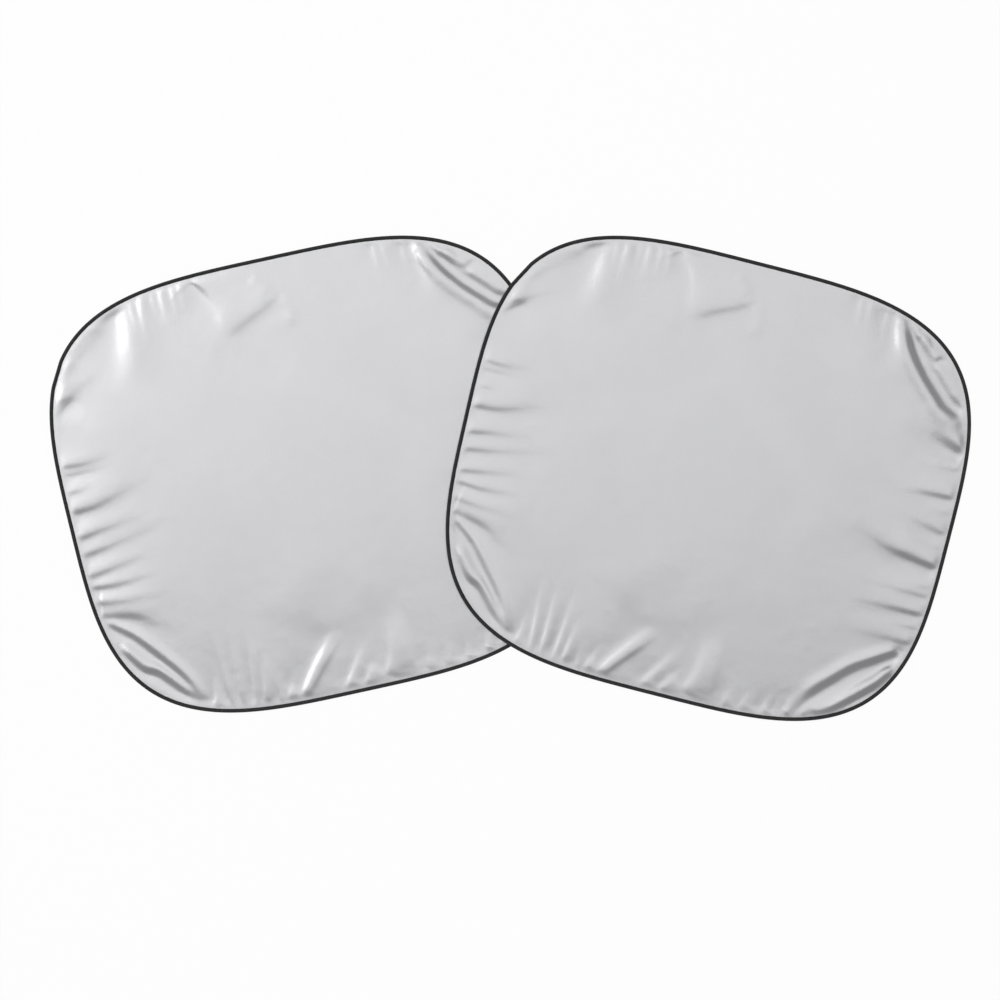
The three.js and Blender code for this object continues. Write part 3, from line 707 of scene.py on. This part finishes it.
def seen_by_eye(nodes, links, share):
    """The share for rays from the camera, also by way of metal or glass, and nothing for the rest."""
    path = nodes.new("ShaderNodeLightPath")
    total = path.outputs["Is Camera Ray"]
    for name in ("Is Glossy Ray", "Is Transmission Ray"):
        larger = add_node(nodes, "ShaderNodeMath", operation="MAXIMUM")
        links.new(total, larger.inputs[0])
        links.new(path.outputs[name], larger.inputs[1])
        total = larger.outputs[0]
    part = add_node(nodes, "ShaderNodeMath", operation="MULTIPLY")
    part.inputs[1].default_value = share
    links.new(total, part.inputs[0])
    return part.outputs[0]


class SUNSHADE_OT_bindings(bpy.types.Operator):
    """Folds a ribbed tape round each panel's wire, and sews it"""

    bl_idname = "sunshade.bindings"
    bl_label = "Rims and Stitches"

    def execute(self, context):
        sizes, finishes = context.scene.sunshade_sizes, context.scene.sunshade_finishes
        tape, thread = rim_tape(finishes.tape), sewing_thread(finishes.thread)
        tape_vertices, tape_faces, uvs = tape_mesh(sizes)
        stitch_vertices, stitch_faces = stitch_mesh(sizes)
        for panel in PANELS:
            rim = add_piece(
                f"{panel}_rim_tape", tape_vertices, tape_faces, panel, tape, sizes, uvs
            )
            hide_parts(f"{panel}_binding")
            add_piece(
                f"{panel}_stitches", stitch_vertices, stitch_faces, panel, thread, sizes
            )
        return {"FINISHED"}


class SUNSHADE_OT_fabric(bpy.types.Operator):
    """Stretches the silver fabric in each rim, with its folds"""

    bl_idname = "sunshade.fabric"
    bl_label = "Silver Fabric"

    def execute(self, context):
        sizes, finishes = context.scene.sunshade_sizes, context.scene.sunshade_finishes
        silver = silver_fabric(finishes.silver)
        vertices, faces = fabric_mesh(sizes)
        for panel in PANELS:
            sheet = add_piece(
                f"{panel}_silver_sheet", vertices, faces, panel, silver, sizes
            )
            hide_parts(f"{panel}_fabric")
            panel_area(sizes)
        return {"FINISHED"}


class SUNSHADE_OT_wires(bpy.types.Operator):
    """Gives the spring wires and their sleeves a steel finish"""

    bl_idname = "sunshade.wires"
    bl_label = "Wires and Sleeves"

    def execute(self, context):
        finishes = context.scene.sunshade_finishes
        steel = drawn_steel("drawn_spring_steel", finishes.steel, 0.33, 900)
        crimped = drawn_steel("crimped_sleeve_steel", finishes.sleeve, 0.45, 500)
        for panel in PANELS:
            for node, material in ((f"{panel}_spring_wire", steel), (f"{panel}_wire_sleeve", crimped)):
                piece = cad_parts[node]
                piece.data.materials.clear()
                piece.data.materials.append(material)
        return {"FINISHED"}


def add_softbox(name, place, aim, width, height, power):
    """A rectangular lamp at place that faces aim."""
    lamp = bpy.data.lights.new(name, "AREA")
    lamp.shape = "RECTANGLE"
    lamp.size, lamp.size_y = width, height
    lamp.energy = power
    holder = bpy.data.objects.new(name, lamp)
    holder.location = place
    holder.rotation_euler = (Vector(aim) - Vector(place)).to_track_quat("-Z", "Y").to_euler()
    bpy.context.scene.collection.objects.link(holder)
    return holder


class SUNSHADE_OT_studio(bpy.types.Operator):
    """Sets the pale floor, the soft lamps, the world and the camera straight above"""

    bl_idname = "sunshade.studio"
    bl_label = "Studio"

    # The photograph's frame: pixels a side, real size of a pixel, and where the object's middle lies
    FRAME_PIXELS = 1000
    PIXEL = 1.5972 * MM
    MIDDLE_ACROSS = 510.3
    MIDDLE_DOWN = 478.3
    LENS = 220 * MM
    SENSOR = 36 * MM

    FLOOR_REACH = 12.0  # from the middle to each side

    # The world's strength by the walls and overhead, and how far up each reaches, where 1 is straight up
    WALL_STRENGTH = 0.8
    WALL_TOP = 0.4
    CEILING_STRENGTH = 0.25
    CEILING_START = 0.65

    def execute(self, context):
        scene, finishes = context.scene, context.scene.sunshade_finishes
        self.lay_floor(scene, studio_floor(finishes.floor))
        self.light_world(scene)
        add_softbox(
            "overhead_softbox",
            place=(-0.9, 0.87, 5.0), aim=(-0.9, 0.87, 0), width=6.5, height=3.2, power=66,
        )
        add_softbox(
            "key_softbox", place=(-3.2, 1.45, 4.8), aim=(0, 0, 0), width=2.4, height=2.4, power=80
        )
        self.place_camera(scene)
        scene.view_settings.view_transform = "Standard"
        return {"FINISHED"}

    def lay_floor(self, scene, material):
        mesh = bpy.data.meshes.new("floor")
        far = self.FLOOR_REACH
        corners = [(-far, -far, 0), (far, -far, 0), (far, far, 0), (-far, far, 0)]
        mesh.from_pydata(corners, [], [(0, 1, 2, 3)])
        mesh.materials.append(material)
        floor = bpy.data.objects.new("floor", mesh)
        scene.collection.objects.link(floor)

    def light_world(self, scene):
        world = bpy.data.worlds.new("studio")
        scene.world = world
        world.use_nodes = True
        nodes, links = world.node_tree.nodes, world.node_tree.links
        fill = nodes["Background"]
        fill.inputs["Color"].default_value = (1, 1, 1, 1)
        # Brighter towards the horizon, as between a studio's white walls
        direction = nodes.new("ShaderNodeTexCoord").outputs["Generated"]
        height = nodes.new("ShaderNodeSeparateXYZ")
        walls = add_node(
            nodes, "ShaderNodeMapRange", from_min=self.WALL_TOP, from_max=self.CEILING_START,
            to_min=self.WALL_STRENGTH, to_max=self.CEILING_STRENGTH,
        )
        links.new(direction, height.inputs[0])
        links.new(height.outputs["Z"], walls.inputs["Value"])
        links.new(walls.outputs["Result"], fill.inputs["Strength"])
        white = add_node(nodes, "ShaderNodeBackground", color=(1, 1, 1, 1), strength=1)
        mix = nodes.new("ShaderNodeMixShader")
        path = nodes.new("ShaderNodeLightPath")
        links.new(path.outputs["Is Camera Ray"], mix.inputs[0])
        links.new(fill.outputs[0], mix.inputs[1])
        links.new(white.outputs[0], mix.inputs[2])
        links.new(mix.outputs[0], nodes["World Output"].inputs["Surface"])

    def place_camera(self, scene):
        lens = bpy.data.cameras.new("camera")
        lens.lens, lens.sensor_width = self.LENS / MM, self.SENSOR / MM
        half = self.FRAME_PIXELS / 2
        across = (half - self.MIDDLE_ACROSS) * self.PIXEL
        up = (self.MIDDLE_DOWN - half) * self.PIXEL
        height = self.FRAME_PIXELS * self.PIXEL * self.LENS / self.SENSOR
        camera = bpy.data.objects.new("camera", lens)
        camera.location = (across, up, height)
        scene.collection.objects.link(camera)
        scene.camera = camera


OPERATORS = (SUNSHADE_OT_bindings, SUNSHADE_OT_fabric, SUNSHADE_OT_wires, SUNSHADE_OT_studio)


class VIEW3D_PT_sunshade(bpy.types.Panel):
    """Sizes, finishes and steps of the sunshade"""

    bl_idname = "VIEW3D_PT_sunshade"
    bl_label = "Sunshade"
    bl_space_type = "VIEW_3D"
    bl_region_type = "UI"
    bl_category = "Sunshade"

    def draw(self, context):
        scene = context.scene
        for group in (scene.sunshade_sizes, scene.sunshade_finishes):
            column = self.layout.column()
            for name in group.__annotations__:
                column.prop(group, name)
        for operator in OPERATORS:
            self.layout.operator(operator.bl_idname)


CLASSES = (SunshadeSizes, SunshadeFinishes, *OPERATORS, VIEW3D_PT_sunshade)


def register():
    for each in CLASSES:
        bpy.utils.register_class(each)
    bpy.types.Scene.sunshade_sizes = PointerProperty(type=SunshadeSizes)
    bpy.types.Scene.sunshade_finishes = PointerProperty(type=SunshadeFinishes)


def unregister():
    del bpy.types.Scene.sunshade_finishes
    del bpy.types.Scene.sunshade_sizes
    for each in reversed(CLASSES):
        bpy.utils.unregister_class(each)


def main():
    register()
    bpy.ops.sunshade.bindings()
    bpy.ops.sunshade.fabric()
    bpy.ops.sunshade.wires()
    bpy.ops.sunshade.studio()


if __name__ == "__main__":
    main()
